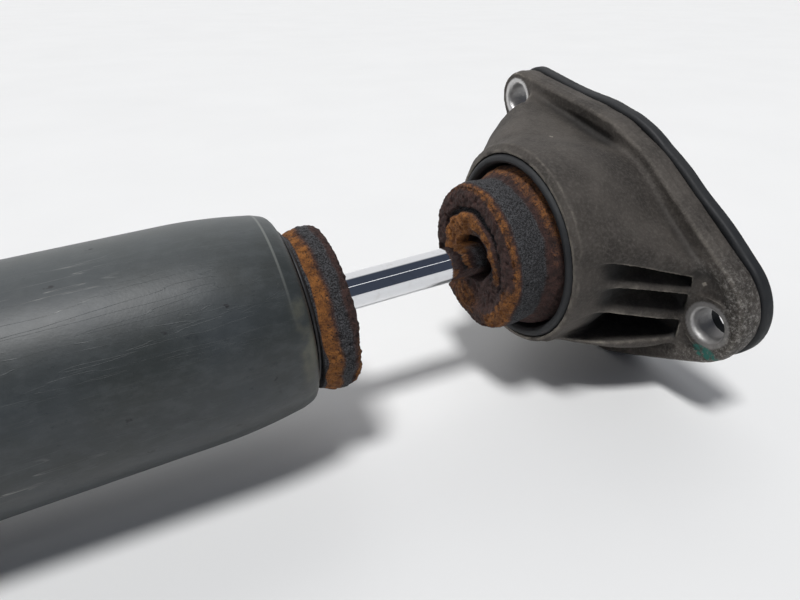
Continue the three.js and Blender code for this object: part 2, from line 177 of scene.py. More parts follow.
def skin(field, low, size):
    """The zero surface of a sampled field, as points and quads (naive surface nets)."""
    shape = np.array(field.shape) - 1
    total = np.zeros((*shape, 3))
    count = np.zeros(shape, np.int32)

    def window(corner):
        return tuple(slice(c, c + n) for c, n in zip(corner, shape))

    for corner in np.ndindex(2, 2, 2):
        for axis in range(3):
            if corner[axis]:
                continue
            far = list(corner)
            far[axis] = 1
            here, there = field[window(corner)], field[window(far)]
            cut = (here < 0) != (there < 0)
            share = np.where(cut, here / np.where(cut, here - there, 1), 0)
            count += cut
            for k in range(3):
                total[..., k] += np.where(cut, corner[k] + (share if k == axis else 0), 0)
    busy = count > 0
    index = np.full(shape, -1)
    index[busy] = np.arange(busy.sum())
    cells = np.argwhere(busy)
    points = np.array(low) + size * (cells + total[busy] / count[busy][:, None])
    quads = []
    for axis in range(3):
        b, c = (axis + 1) % 3, (axis + 2) % 3
        inner = [slice(1, -1)] * 3
        inner[axis] = slice(0, -1)
        beyond = list(inner)
        beyond[axis] = slice(1, None)
        here, there = field[tuple(inner)] < 0, field[tuple(beyond)] < 0
        spot = np.argwhere(here != there)
        leaving = here[tuple(spot.T)]
        spot = spot + 1
        spot[:, axis] -= 1
        ring = []
        for back_b, back_c in ((0, 0), (1, 0), (1, 1), (0, 1)):
            cell = spot.copy()
            cell[:, b] -= back_b
            cell[:, c] -= back_c
            ring.append(index[tuple(cell.T)])
        ring = np.stack(ring, 1)
        quads.append(np.where(leaving[:, None], ring, ring[:, ::-1]))
    return points, np.concatenate(quads)


# ---- Meshes ----
def vertex_normals(points, faces):
    """Unit normals, from each face's diagonals."""
    a, b, c, d = (points[faces[:, k]] for k in range(4))
    face = np.cross(c - a, d - b)
    total = np.zeros_like(points)
    for k in range(4):
        np.add.at(total, faces[:, k], face)
    return total / np.maximum(np.linalg.norm(total, axis=1), 1e-9)[:, None]


def to_frame(points):
    """Strut millimetres to row-frame metres."""
    return np.asarray(points) * MM @ np.array(TURN).T + np.array(ORIGIN)


def piece(name, points, faces, body, node, finish, sharp=35, masks=None):
    """Makes a mesh object from strut points, and has it stand for a CAD node on a body."""
    mesh = bpy.data.meshes.new(name)
    mesh.from_pydata(to_frame(points).tolist(), [], faces.tolist())
    for label, values in (masks or {}).items():
        layer = mesh.attributes.new(label, "FLOAT", "POINT")
        layer.data.foreach_set("value", np.asarray(values, np.float32))
    work = bmesh.new()
    work.from_mesh(mesh)
    bmesh.ops.remove_doubles(work, verts=work.verts, dist=1e-7)
    bmesh.ops.dissolve_degenerate(work, edges=work.edges, dist=1e-8)
    bmesh.ops.recalc_face_normals(work, faces=work.faces)
    work.to_mesh(mesh)
    work.free()
    mesh.shade_smooth()
    mesh.set_sharp_from_angle(angle=math.radians(sharp))
    made = bpy.data.objects.new(name, mesh)
    bpy.context.scene.collection.objects.link(made)
    made.data.materials.append(finish)
    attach(made, body)
    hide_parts(node)
    return made


def softened(profile, radius=0.5, steps=4):
    """A closed profile with each corner rounded off; a third number sets a corner's own radius."""
    points = []
    for i, corner in enumerate(profile):
        here = np.array(corner[:2], float)
        before = np.array(profile[i - 1][:2], float)
        after = np.array(profile[(i + 1) % len(profile)][:2], float)
        size = corner[2] if len(corner) > 2 else radius
        back, on = np.linalg.norm(before - here), np.linalg.norm(after - here)
        size = min(size, 0.45 * back, 0.45 * on)
        if size < 1e-3 or here[1] == 0:
            points.append(here)
            continue
        a = here + (before - here) / back * size
        b = here + (after - here) / on * size
        for t in np.linspace(0, 1, steps + 1):
            points.append((1 - t) ** 2 * a + 2 * t * (1 - t) * here + t * t * b)
    return np.array(points)


def resampled(profile, spacing):
    """A closed profile with points no further apart than spacing."""
    points = []
    for here, after in zip(profile, np.roll(profile, -1, axis=0)):
        count = max(1, int(np.ceil(np.linalg.norm(after - here) / spacing)))
        for t in np.arange(count) / count:
            points.append(here + (after - here) * t)
    return np.array(points)


def turned(profile, sides=160):
    """Points and quads of a closed profile of (x, radius) turned about the axis."""
    angle = np.arange(sides) * 2 * np.pi / sides
    x = np.repeat(profile[:, 0], sides)
    r = np.repeat(profile[:, 1], sides)
    around = np.tile(angle, len(profile))
    points = np.stack([x, r * np.cos(around), r * np.sin(around)], 1)
    row = np.arange(len(profile))[:, None] * sides
    next_row = np.roll(row, -1, axis=0)
    side = np.arange(sides)[None]
    next_side = (side + 1) % sides
    quads = np.stack([row + side, row + next_side, next_row + next_side, next_row + side], -1)
    return points, quads.reshape(-1, 4)


def across_eye(points):
    """Turns a shape made about the strut's axis so that it lies across the lower eye."""
    return np.stack([EYE_X - points[:, 1], points[:, 0], points[:, 2]], 1)


# ---- Materials ----
class Paint:
    """A material under construction, with short calls for the few kinds of node it needs."""

    def __init__(self, name, color=(0.5, 0.5, 0.5), metallic=0.0, roughness=0.5):
        self.material = bpy.data.materials.new(name)
        self.material.use_nodes = True
        self.tree = self.material.node_tree
        self.shader = self.tree.nodes["Principled BSDF"]
        self.put("Base Color", (*color, 1))
        self.put("Metallic", metallic)
        self.put("Roughness", roughness)
        place = self.node("ShaderNodeMapping", vector_type="TEXTURE")
        place.inputs["Location"].default_value = ORIGIN
        place.inputs["Rotation"].default_value = TURN.to_euler()
        place.inputs["Scale"].default_value = (MM, MM, MM)
        self.link(self.node("ShaderNodeTexCoord").outputs["Object"], place.inputs["Vector"])
        self.place = place.outputs["Vector"]

    def node(self, kind, **settings):
        made = self.tree.nodes.new(kind)
        for key, value in settings.items():
            setattr(made, key, value)
        return made

    def link(self, source, socket):
        if hasattr(source, "links"):
            self.tree.links.new(source, socket)
        elif isinstance(source, tuple) and len(source) == 3 and socket.type == "RGBA":
            socket.default_value = (*source, 1)
        else:
            socket.default_value = source

    def put(self, name, value):
        self.link(value, self.shader.inputs[name])

    def noise(self, size, detail=3.0, rough=0.55, stretch=(1, 1, 1), shift=0.0):
        """Noise from 0 to 1 with lumps about size millimetres across."""
        scaled = self.node("ShaderNodeMapping")
        self.link(self.place, scaled.inputs["Vector"])
        scaled.inputs["Scale"].default_value = [1 / (size * s) for s in stretch]
        scaled.inputs["Location"].default_value = (shift, shift, shift)
        made = self.node("ShaderNodeTexNoise")
        self.link(scaled.outputs["Vector"], made.inputs["Vector"])
        made.inputs["Scale"].default_value = 1
        made.inputs["Detail"].default_value = detail
        made.inputs["Roughness"].default_value = rough
        return made.outputs["Fac"]

    def cells(self, size, stretch=(1, 1, 1)):
        """Distance to the nearest of scattered points about size millimetres apart."""
        scaled = self.node("ShaderNodeMapping")
        self.link(self.place, scaled.inputs["Vector"])
        scaled.inputs["Scale"].default_value = [1 / (size * s) for s in stretch]
        made = self.node("ShaderNodeTexVoronoi")
        self.link(scaled.outputs["Vector"], made.inputs["Vector"])
        made.inputs["Scale"].default_value = 1
        return made.outputs["Distance"]

    def level(self, value, low, high):
        """0 where value is low, 1 where it is high."""
        made = self.node("ShaderNodeMapRange", interpolation_type="SMOOTHSTEP")
        self.link(value, made.inputs["Value"])
        self.link(low, made.inputs["From Min"])
        self.link(high, made.inputs["From Max"])
        return made.outputs["Result"]

    def calc(self, operation, a, b=0.0):
        made = self.node("ShaderNodeMath", operation=operation)
        self.link(a, made.inputs[0])
        self.link(b, made.inputs[1])
        return made.outputs["Value"]

    def mix(self, share, a, b):
        made = self.node("ShaderNodeMix", data_type="RGBA")
        self.link(share, made.inputs["Factor"])
        self.link(a, made.inputs[6])
        self.link(b, made.inputs[7])
        return made.outputs[2]

    def mask(self, name):
        return self.node("ShaderNodeAttribute", attribute_name=name).outputs["Fac"]

    def part(self, axis):
        """The strut's x, y or z, in millimetres."""
        split = self.node("ShaderNodeSeparateXYZ")
        self.link(self.place, split.inputs["Vector"])
        return split.outputs[axis]

    def worn_edge(self, low=0.52, high=0.6):
        return self.level(self.node("ShaderNodeNewGeometry").outputs["Pointiness"], low, high)

    def bump(self, height, depth):
        """Relief of about depth millimetres."""
        made = self.node("ShaderNodeBump")
        made.inputs["Distance"].default_value = depth * MM
        made.inputs["Strength"].default_value = 1
        self.link(height, made.inputs["Height"])
        if self.shader.inputs["Normal"].links:
            self.link(self.shader.inputs["Normal"].links[0].from_socket, made.inputs["Normal"])
        self.put("Normal", made.outputs["Normal"])


def line(paint, at, width, axis="X"):
    """1 along a thin line round the strut at one x."""
    away = paint.calc("ABSOLUTE", paint.calc("SUBTRACT", paint.part(axis), at))
    return paint.calc("SUBTRACT", 1.0, paint.level(away, width * 0.3, width))


def tube_paint():
    paint = Paint("tube_paint", roughness=0.5)
    cloud = paint.noise(34, 4)
    streak = paint.noise(1.2, 4, 0.6, (14, 1, 1))
    base = paint.mix(paint.level(cloud, 0.3, 0.7), (0.022, 0.026, 0.024), (0.034, 0.041, 0.046))
    base = paint.mix(paint.calc("MULTIPLY", streak, 0.25), base, (0.07, 0.08, 0.086))
    mottle = paint.level(paint.noise(4, 6, 0.7, (1.6, 1, 1), 7), 0.42, 0.68)
    base = paint.mix(paint.calc("MULTIPLY", mottle, 0.4), base, (0.068, 0.076, 0.079))
    smudge = paint.level(paint.noise(2.6, 5, 0.7, (1.3, 1, 1), 9), 0.6, 0.72)
    base = paint.mix(paint.calc("MULTIPLY", smudge, 0.6), base, (0.012, 0.015, 0.02))
    height = paint.calc("ADD", paint.calc("MULTIPLY", paint.part("Y"), math.cos(SIGHT)),
                        paint.calc("MULTIPLY", paint.part("Z"), math.sin(SIGHT)))
    # paler along the tube's upper edge in the view: dust, and a painted highlight where that edge catches the
    # light
    dust = paint.level(height, 14, 36)
    base = paint.mix(paint.calc("MULTIPLY", dust, 0.4), base, (0.13, 0.142, 0.14))
    # long pale scratches, crowded towards the upper left of the view
    rub = paint.noise(2.6, 2, 0.5, (18, 1, 1), 5)
    hair = paint.calc("ABSOLUTE", paint.calc("SUBTRACT", rub, 0.5))
    hair = paint.calc("SUBTRACT", 1.0, paint.level(hair, 0.002, 0.01))
    patch = paint.level(paint.noise(30, 2, 0.5, (1.6, 1, 1), 3), 0.52, 0.66)
    where = paint.calc("MULTIPLY", patch, paint.level(paint.part("X"), -40, -75))
    base = paint.mix(paint.calc("MULTIPLY", hair, where), base, (0.32, 0.32, 0.3))
    # short black scuffs
    scuff = paint.level(paint.cells(13, (1, 0.42, 1)), 0.11, 0.07)
    torn = paint.level(paint.noise(1.6, 3), 0.44, 0.56)
    base = paint.mix(paint.calc("MULTIPLY", scuff, torn), base, (0.012, 0.013, 0.015))
    # painted highlights: the pale line where the shoulder turns, brighter towards the top of the view, and a
    # yellowish smear beside it
    shoulder_highlight = paint.calc("MULTIPLY", line(paint, -5.5, 0.5), paint.level(height, -6, 24))
    base = paint.mix(paint.calc("MULTIPLY", shoulder_highlight, 0.45), base, (0.26, 0.27, 0.25))
    shoulder_smear_highlight = paint.calc("MULTIPLY", line(paint, -3.4, 4), paint.level(paint.noise(9, 4), 0.36, 0.7))
    near = paint.calc("MULTIPLY", paint.level(height, 18, 4), paint.level(height, -30, -12))
    shoulder_smear_highlight = paint.calc("MULTIPLY", paint.calc("MULTIPLY", shoulder_smear_highlight, near), 0.7)
    base = paint.mix(shoulder_smear_highlight, base, (0.15, 0.145, 0.1))
    paint.put("Base Color", base)
    paint.put("Roughness", paint.calc("ADD", paint.calc("MULTIPLY", cloud, 0.16), 0.4))
    paint.bump(paint.noise(0.8, 4), 0.03)
    paint.bump(hair, 0.02)
    return paint.material


def foam_paint():
    """Crumbling polyurethane: rust where it is torn or rubbed, black and grey where it is old. The rust colour
    also paints highlights along the upper half's edges, and the black paints shade in the hollows of its torn
    face.
    """
    paint = Paint("foam_paint", roughness=0.95)
    rust_and_highlight, char_and_shade = paint.mask("rust_and_highlight"), paint.mask("char_and_shade")
    blotch = paint.noise(2.4, 5, 0.65)
    speck = paint.noise(0.45, 3, 0.6)
    fray = paint.calc("SUBTRACT", paint.calc("ADD", speck, blotch), 1.0)
    orange = paint.mix(paint.level(blotch, 0.3, 0.7), (0.1, 0.034, 0.009), (0.31, 0.12, 0.026))
    brown = paint.mix(paint.level(blotch, 0.3, 0.7), (0.026, 0.013, 0.011), (0.07, 0.032, 0.026))
    # the rust colour, which also carries painted highlights on the upper half's edges
    rust_and_highlight_level = paint.calc("ADD", rust_and_highlight, paint.calc("MULTIPLY", fray, 0.8))
    base = paint.mix(paint.level(rust_and_highlight_level, 0.15, 0.85), brown, orange)
    # black and grey for old foam, which also carries the painted shade in the upper half's hollows
    old = paint.mix(paint.level(speck, 0.4, 0.66), (0.01, 0.01, 0.012), (0.085, 0.085, 0.09))
    char_and_shade_level = paint.calc("ADD", char_and_shade, paint.calc("MULTIPLY", fray, 0.8))
    base = paint.mix(paint.level(char_and_shade_level, 0.2, 0.85), base, old)
    # painted shade: near-black in the pits that the speck bump sinks
    hole = paint.calc("MULTIPLY", paint.level(speck, 0.47, 0.36), 0.85)
    base = paint.mix(hole, base, (0.008, 0.006, 0.005))
    paint.put("Base Color", base)
    paint.bump(speck, 0.5)
    paint.bump(blotch, 0.5)
    return paint.material


def cast_paint():
    """Grimy as-cast aluminium, bare on its edges and round the bolts, with painted shade in its pockets and in the
    recess inside its rim.
    """
    paint = Paint("cast_paint", metallic=0.35, roughness=0.6)
    cloud = paint.noise(22, 5, 0.6)
    fine = paint.noise(1.1, 5, 0.7)
    base = paint.mix(paint.level(cloud, 0.3, 0.7), (0.032, 0.027, 0.023), (0.085, 0.074, 0.064))
    base = paint.mix(paint.calc("MULTIPLY", paint.level(fine, 0.4, 0.75), 0.5), base, (0.15, 0.135, 0.12))
    # painted shade: near-black in the pockets and in the recess inside the rim
    base = paint.mix(paint.mask("hollow_shade"), base, (0.016, 0.015, 0.014))
    edge = paint.calc("MULTIPLY", paint.worn_edge(0.51, 0.58), paint.level(paint.noise(5, 4), 0.3, 0.6))
    base = paint.mix(paint.calc("MULTIPLY", edge, 0.7), base, (0.42, 0.38, 0.32))
    base = paint.mix(paint.mask("bare"), base, (0.62, 0.61, 0.6))
    glint = paint.level(paint.noise(1.6, 6, 0.85), 0.46, 0.7)
    sparkle = paint.calc("MULTIPLY", glint, paint.mask("sparkle"))
    base = paint.mix(sparkle, base, (0.4, 0.38, 0.35))
    teal = paint.calc("MULTIPLY", paint.mask("teal"), paint.level(paint.noise(2.2, 4, 0.7), 0.4, 0.55))
    base = paint.mix(teal, base, (0.03, 0.16, 0.13))
    paint.put("Base Color", base)
    rough = paint.calc("SUBTRACT", 0.66, paint.calc("MULTIPLY", paint.mask("bare"), 0.34))
    paint.put("Roughness", paint.calc("ADD", rough, paint.calc("MULTIPLY", fine, 0.1)))
    metal = paint.calc("ADD", paint.calc("MULTIPLY", paint.mask("bare"), 0.5), 0.35)
    paint.put("Metallic", metal)
    paint.bump(fine, 0.22)
    paint.bump(paint.noise(0.35, 2), 0.05)
    return paint.material


def rubber_paint(name, light=0.03):
    paint = Paint(name, roughness=0.7)
    dusty = paint.level(paint.noise(9, 5, 0.65), 0.42, 0.7)
    dust = (light, light * 1.05, light * 1.1)
    base = paint.mix(paint.calc("MULTIPLY", dusty, 0.6), (0.009, 0.01, 0.012), dust)
    paint.put("Base Color", base)
    paint.put("Roughness", paint.calc("ADD", paint.calc("MULTIPLY", dusty, 0.2), 0.6))
    paint.bump(paint.noise(0.9, 4), 0.08)
    return paint.material


def metal_paint(name, dark, light, roughness, metallic=1.0, size=4, relief=0.02):
    """Plain bare metals and sintered parts."""
    paint = Paint(name, metallic=metallic)
    mottle = paint.noise(size, 5, 0.6)
    paint.put("Base Color", paint.mix(paint.level(mottle, 0.3, 0.7), dark, light))
    paint.put("Roughness", paint.calc("ADD", paint.calc("MULTIPLY", mottle, 0.2), roughness - 0.1))
    paint.bump(paint.noise(size / 5, 3), relief)
    return paint.material


def chrome_paint():
    paint = Paint("chrome_rod", (0.78, 0.79, 0.81), metallic=1)
    haze = paint.noise(9, 4, 0.6, (3, 1, 1))
    paint.put("Roughness", paint.calc("ADD", paint.calc("MULTIPLY", haze, 0.05), 0.025))
    film = paint.calc("MULTIPLY", paint.level(paint.noise(2.5, 4), 0.5, 0.8), 0.25)
    paint.put("Base Color", paint.mix(film, (0.8, 0.81, 0.83), (0.5, 0.47, 0.44)))
    return paint.material


TUBE = tube_paint()
FOAM = foam_paint()
CAST = cast_paint()
RIM = rubber_paint("cup_rubber", 0.035)
RUBBER = rubber_paint("bush_rubber_paint")
GASKET_PAINT = rubber_paint("gasket_rubber", 0.022)
CHROME = chrome_paint()
PLATED = metal_paint("plated_steel_paint", (0.34, 0.33, 0.3), (0.56, 0.55, 0.52), 0.38)
SINTERED = metal_paint("sintered_paint", (0.12, 0.115, 0.11), (0.22, 0.21, 0.2), 0.6, 0.8, 1.5, 0.05)
BRONZE = metal_paint("bronze_paint", (0.32, 0.17, 0.06), (0.5, 0.3, 0.12), 0.4)
BLACKENED = metal_paint("blackened_paint", (0.012, 0.012, 0.013), (0.03, 0.03, 0.032), 0.5, 0.3)
PTFE = metal_paint("ptfe_paint", (0.03, 0.05, 0.045), (0.06, 0.085, 0.075), 0.5, 0.0)

# ---- CAD nodes inside the strut keep their shape and take a finish by material slot ----
SLOT_FINISH = {
    "coated_steel": TUBE, "black_steel": BLACKENED, "chrome": CHROME, "cast_aluminium": CAST,
    "plated_steel": PLATED, "sintered_iron": SINTERED, "bronze": BRONZE, "ptfe": PTFE,
    "rubber": RUBBER, "foam": FOAM,
}
for part in frame["record"]["subparts"]:
    slots = frame["nodes"][part["node"]].material_slots
    for used in slots:
        used.material = SLOT_FINISH[part["material_slot"]]


# ---- Turned pieces ----
def lathe(name, profile, body, finish, radius=0.4, sides=160, crosswise=False):
    points, faces = turned(softened(profile, radius), sides)
    if crosswise:
        points = across_eye(points)
    return piece(name + "_shape", points, faces, body, name, finish)


lathe("outer_tube", [
    (TUBE_END, TUBE_R), (-26, TUBE_R, 12), (-15, 32.6, 6), (-5.5, 31.2, 0.4), (-1.2, 29.8, 4),
    (0, 25.8, 2), (0, 20), (-2, 20), (-2, 24, 2), (-6.5, 29.1, 2), (-16, 30.4), (-27, TUBE_IN),
    (TUBE_END, TUBE_IN),
], "damper_body", TUBE, 0.6, 256)

lathe("base_cap", [
    (-300, 0), (-299, 14, 4), (-294, 24, 4), (-291, 31.2, 1.5), (-284, 31.2), (-284, 28.2),
    (-288, 23), (-293, 13), (-294, 0),
], "damper_body", TUBE, 1, 192)

lathe("striker_cap", [
    (GAP, 7.25), (GAP, 25.4), (0.9, 25.4), (STRIKER_TOP, 24.6), (STRIKER_TOP, 7.25),
], "damper_body", BLACKENED, 0.2)

lathe("piston_rod", [
    (-175.4, 0), (-175.4, 4), (-174.4, THREAD_R), (-143.7, THREAD_R), (-143.7, ROD_R),
    (104.5, ROD_R), (104.5, THREAD_R), (135, THREAD_R), (136, 4), (136, 0),
], "rod", CHROME, 0.25, 128)

lathe("bump_stop_cup", [
    (CUP_FLOOR, 12), (CUP_FLOOR, 30.5, 1.5), (COLLAR + 0.6, 30.8), (COLLAR - 1, 31.8, 1),
    (COLLAR - 1, 33.2, 0.8), (COLLAR + 0.6, CUP_R), (CUP_BACK, CUP_R), (CUP_BACK, 12),
], "top_mount", RIM, 0.5, 192)

lathe("retainer_plate", [
    (PLATE_SEAT + GAP, 14), (PLATE_SEAT + GAP, PLATE_R - GAP), (PLATE_SEAT + 2.8, PLATE_R - GAP),
    (PLATE_SEAT + 2.8, 14),
], "top_mount", PLATED, 0.6)

lathe("isolator_rubber", [
    (BULKHEAD + GAP, 15), (BULKHEAD + GAP, ISOLATOR_R - GAP), (PLATE_SEAT - GAP, ISOLATOR_R - GAP),
    (PLATE_SEAT - 4, 20, 2), (PLATE_SEAT - GAP, 13.4), (PLATE_SEAT - 4, CORE_R + 0.6),
    (BULKHEAD + 3, CORE_R + 0.6),
], "top_mount", RUBBER)

lathe("rear_washer", [
    (126.8, 5.2), (126.8, 12.4), (129.3, 12.4), (129.3, 5.2),
], "rod", PLATED, 0.4)

EYE_HALF = 17
lathe("bush_shell", [
    (-EYE_HALF, 15.4), (-EYE_HALF, 16.8), (EYE_HALF, 16.8), (EYE_HALF, 15.4),
], "damper_body", PLATED, 0.3, crosswise=True)
lathe("bush_rubber", [
    (-EYE_HALF - 2, 8.35), (-EYE_HALF - 2, 10.5, 1.5), (-EYE_HALF + 1, 15.1, 2),
    (EYE_HALF - 1, 15.1, 2), (EYE_HALF + 2, 10.5, 1.5), (EYE_HALF + 2, 8.35),
], "damper_body", RUBBER, 0.3, crosswise=True)
lathe("bush_sleeve", [
    (-23, 6.1), (-23, 8.2), (23, 8.2), (23, 6.1),
], "sleeve", PLATED, 0.35, 96, crosswise=True)


# ---- The two halves of the broken bump stop ----
SLIPPED = (0, -0.7, -1.35)  # the loose lower half has dropped until its bore nearly meets the rod
FOAM_STEP = 0.42
FOAM_SIDES = 400


def polar(points):
    """Radius, and angle from straight up in the view, positive towards the viewer's right."""
    angle = np.arctan2(points[:, 2], points[:, 1]) - SIGHT
    return np.hypot(points[:, 1], points[:, 2]), (angle + np.pi) % (2 * np.pi) - np.pi


def crumbled(points, faces, amount, seed):
    """Moves foam in and out: soft lumps, small crumbs and deeper pits."""
    normal = vertex_normals(points, faces)
    lumps = 0.3 * grain(points, 5, seed) + 0.22 * grain(points, 2.2, seed + 1)
    crumbs = 0.36 * grain(points, 0.95, seed + 2)
    pits = -0.6 * step(grain(points, 1.2, seed + 3), 0.2, 0.75)
    return points + normal * (amount * (lumps + crumbs + pits))[:, None]


def sector(angle, middle, half):
    """1 within half an opening of the middle angle, fading out over 0.35 radians each side."""
    away = np.abs((angle - middle + np.pi) % (2 * np.pi) - np.pi)
    return step(away, half + 0.35, half - 0.35)


def lower_half():
    profile = softened([
        (STRIKER_TOP + GAP, 8.5), (STRIKER_TOP + GAP, 24.4, 0.5), (3.6, 24.8, 0.8), (6, 25.7, 2),
        (9.5, 26.2, 2), (RING_FRONT, 25.2, 4), (RING_FRONT, 8.8, 1),
    ], steps=8)
    points, faces = turned(resampled(profile, FOAM_STEP), FOAM_SIDES)
    radius, angle = polar(points)
    low = step(-np.cos(angle), 0.1, 0.95)
    points[:, 1:] *= (1 + 0.05 * low * step(radius, 14, 22))[:, None]
    torn = step(points[:, 0], 9, 12.5) * low
    rough = 0.5 + 0.5 * torn + 0.25 * step(points[:, 0], 4, 6)
    calm = 1 - 0.8 * np.maximum(step(points[:, 0], 3.4, 2.2), step(radius, 11, 9))
    points = crumbled(points, faces, rough * calm, 11)
    points += np.array(SLIPPED)
    x = points[:, 0] + 0.9 * grain(points, 6, 21)
    band = step(x, 2, 3.2) * step(x, 8.4 + 1.2 * low, 3.8 + 2 * low)
    edge = step(x, 10.6, 12.6)
    rust_and_highlight = np.clip(0.9 * band + edge * (0.1 + 0.75 * low), 0, 1)
    char_and_shade = np.clip(step(x, 3, 2.2) + 0.85 * step(x, 5.4, 8.4) * step(x, 12, 9.6), 0, 1)
    made = piece("bump_stop_lower_half_shape", points, faces, "damper_body",
                 "bump_stop_lower_half", FOAM, 180, {"rust_and_highlight": rust_and_highlight, "char_and_shade": char_and_shade})


def upper_half():
    profile = softened([
        (STOP_FACE, 8.9), (STOP_FACE, 23.5, 2), (67.4, 25.8, 1.5), (71, 26.9, 2), (77, 26.6, 2),
        (80.2, 25.9, 1.5),
        (83, 28.2, 2), (87, 29.7, 1.5), (94.2, 29.6), (94.2, 7.8),
    ], steps=8)
    points, faces = turned(resampled(profile, FOAM_STEP), FOAM_SIDES)
    radius, angle = polar(points)
    face = step(points[:, 0], 72, 69.5) * step(radius, 26.4, 25)
    r = radius + 0.7 * grain(points, 5, 31) + 0.4 * grain(points, 2, 32)
    # the torn face, by angle round the rod and distance from it
    crescent = sector(angle, -0.4, 1.1) * step(r, 18, 16)
    ridge = sector(angle, 1.2, 1.2) * step(r, 11.8, 13.4) * step(r, 16.6, 15.6)
    groove = sector(angle, 0.9, 1.5) * step(r, 16.4, 17.4) * step(r, 19.4, 18.2)
    hollow = sector(angle, 1.3, 1.1) * step(r, 12.8, 11)
    pan = sector(angle, 2.9, 0.95) * step(r, 20.5, 17)
    corner = sector(angle, 2.7, 0.45) * step(r, 19.5, 21)
    lump = sector(angle, -2.4, 0.4) * step(r, 11, 14) * step(r, 24.5, 21)
    chip = sector(angle, -1.5, 0.5) * step(r, 17, 21) * step(grain(points, 3.5, 33), -0.1, 0.4)
    depth = 1.8 * hollow + 1.4 * pan + 2.2 * groove + 1.8 * chip
    depth = depth - 0.9 * crescent - 0.4 * ridge - 0.6 * lump
    fluff = grain(points, 1.7, 35) + 0.6 * grain(points, 0.9, 36)
    fluff = fluff * (0.45 + 0.5 * crescent + 0.3 * ridge)
    points[:, 0] += face * (1.2 + depth + 0.6 * fluff)
    points = crumbled(points, faces, (0.5 + 0.25 * face) * step(radius, 8.9, 11), 41)
    x = points[:, 0] + 0.8 * grain(points, 6, 42)
    outside = step(radius, 23.5, 25)
    # painted highlights in the rust colour: a stripe along the sidewall's edge, stronger on the viewer's right,
    # and the flare, a band near the cup on the upper side of the view
    lip_highlight = step(x, 67, 68.2) * step(x, 70.6, 69) * outside
    lip_highlight = lip_highlight * (0.35 + 0.65 * step(np.sin(angle), -0.4, 0.6))
    flare = step(x, 80.4, 83) * step(x, 88, 85) * step(np.cos(angle), -0.7, 0.4)
    rust_and_highlight = np.clip(face * (crescent + 0.7 * ridge + corner + 0.6 * lump) + 0.6 * lip_highlight + 0.5 * flare, 0, 1)
    side = step(x, 69.2, 71.5) * step(x, 81.5, 78.5) * step(radius, 23, 25)
    # painted shade: darker where the torn face sinks into its hollow, groove, chip and pan
    dark = face * (0.6 * hollow + groove + 0.6 * chip + 0.25 * pan)
    char_and_shade = np.clip(side + dark + step(x, 86, 89), 0, 1)
    made = piece("bump_stop_upper_half_shape", points, faces, "top_mount",
                 "bump_stop_upper_half", FOAM, 180, {"rust_and_highlight": rust_and_highlight, "char_and_shade": char_and_shade})


lower_half()
upper_half()

# ---- The cast housing ----
CAST_STEP = 0.6
RIM_WIDTH, RIM_PROUD = 4.8, 0.9  # the rim and the bolt bosses stand proud of the flange's front
BOSS_R = SPOT_R + 2.4
HEAD_ROOM_R, HEAD_ROOM = SPOT_R + 1.2, 12.6  # a bolt head's room, and how far it goes on widening
WEB_START = 87
# the web spreads from the collar to these circles on the flange: (y, z, radius)
WEB_UPPER, WEB_HUB, WEB_LOWER = (59.7, 37.7, 6.5), (0, 0, 28.6), (-50, -19, 13.5)
WEB_EDGE = (-0.16, 0.987, 18.6)  # the upper web's far edge: a direction and its distance along it
SKIRT_START, SKIRT_LEAN = 10.95, 0.3  # the lower web's straight side: distance across, and rise
RIM_SIDE = (-0.448, 0.894)  # points from the line through the two bolts to the long upper edge
# the ribs fall from the collar to the flange along a slanted plane, which starts at RIB_TOP
RIB_TOP, RIB_START, RIB_SLOPE, RIB_SKEW = 94, 36.6, 2.9, 0.2
# pocket corners beside the lower lobe: (towards the lobe, across it) from the rod's axis
POCKETS = [
    [(29, -19.5), (36, -16.8), (44.3, -12.4), (45.4, -8.1), (29, -13.1)],
    [(29, -10.6), (46, -5.4), (47.9, 3.4), (29, -4.3)],
    [(29, -1.8), (48.6, 6.4), (50.6, 13.4), (29, 16.8)],
]
POCKET_FLOOR = FLANGE_FRONT + 2


def taper(share, circle):
    """A circle of the web's section, between the collar and the flange."""
    start = COLLAR_R - 0.4
    return (circle[0] * share, circle[1] * share, start + (circle[2] - start) * share)


def by_lobe(y, z):
    """Distances from the rod's axis: towards the lower lobe, and across that line."""
    cos, sin = math.cos(LOBE_ANGLE), math.sin(LOBE_ANGLE)
    return y * cos + z * sin, z * cos - y * sin


def from_bolts(y, z):
    return np.minimum(*[np.hypot(y - by, z - bz) for by, bz in (UPPER_BOLT, LOWER_BOLT)])


def web(x, y, z):
    """The ribbed body between the collar and the flange."""
    share = np.clip((x - WEB_START) / (FLANGE_FRONT - WEB_START), 0.02, 1)
    hub = taper(share, WEB_HUB)
    upper = belt(y, z, hub, taper(share, WEB_UPPER))
    upper = -soft_min(-upper, WEB_EDGE[1] * z + WEB_EDGE[0] * y - WEB_EDGE[2], 2)
    lower = belt(y, z, hub, taper(share, WEB_LOWER))
    u, v = by_lobe(y, z)
    lower = -soft_min(-lower, SKIRT_START + SKIRT_LEAN * u - v, 3)
    rib_tops = u - RIB_SKEW * v - RIB_START - (x - RIB_TOP) / RIB_SLOPE
    lower = -soft_min(-lower, -rib_tops / math.hypot(1, RIB_SKEW, 1 / RIB_SLOPE), 2)
    body = soft_min(upper, lower, 5)
    for corners in POCKETS:
        opening = polygon(u, v, corners) - 0.012 * (FLANGE_FRONT - x)
        body = soft_cut(body, np.maximum(opening, x - POCKET_FLOOR), 1.2)
    return np.maximum(body, np.maximum(WEB_START - 1 - x, x - FLANGE_FRONT - 3))


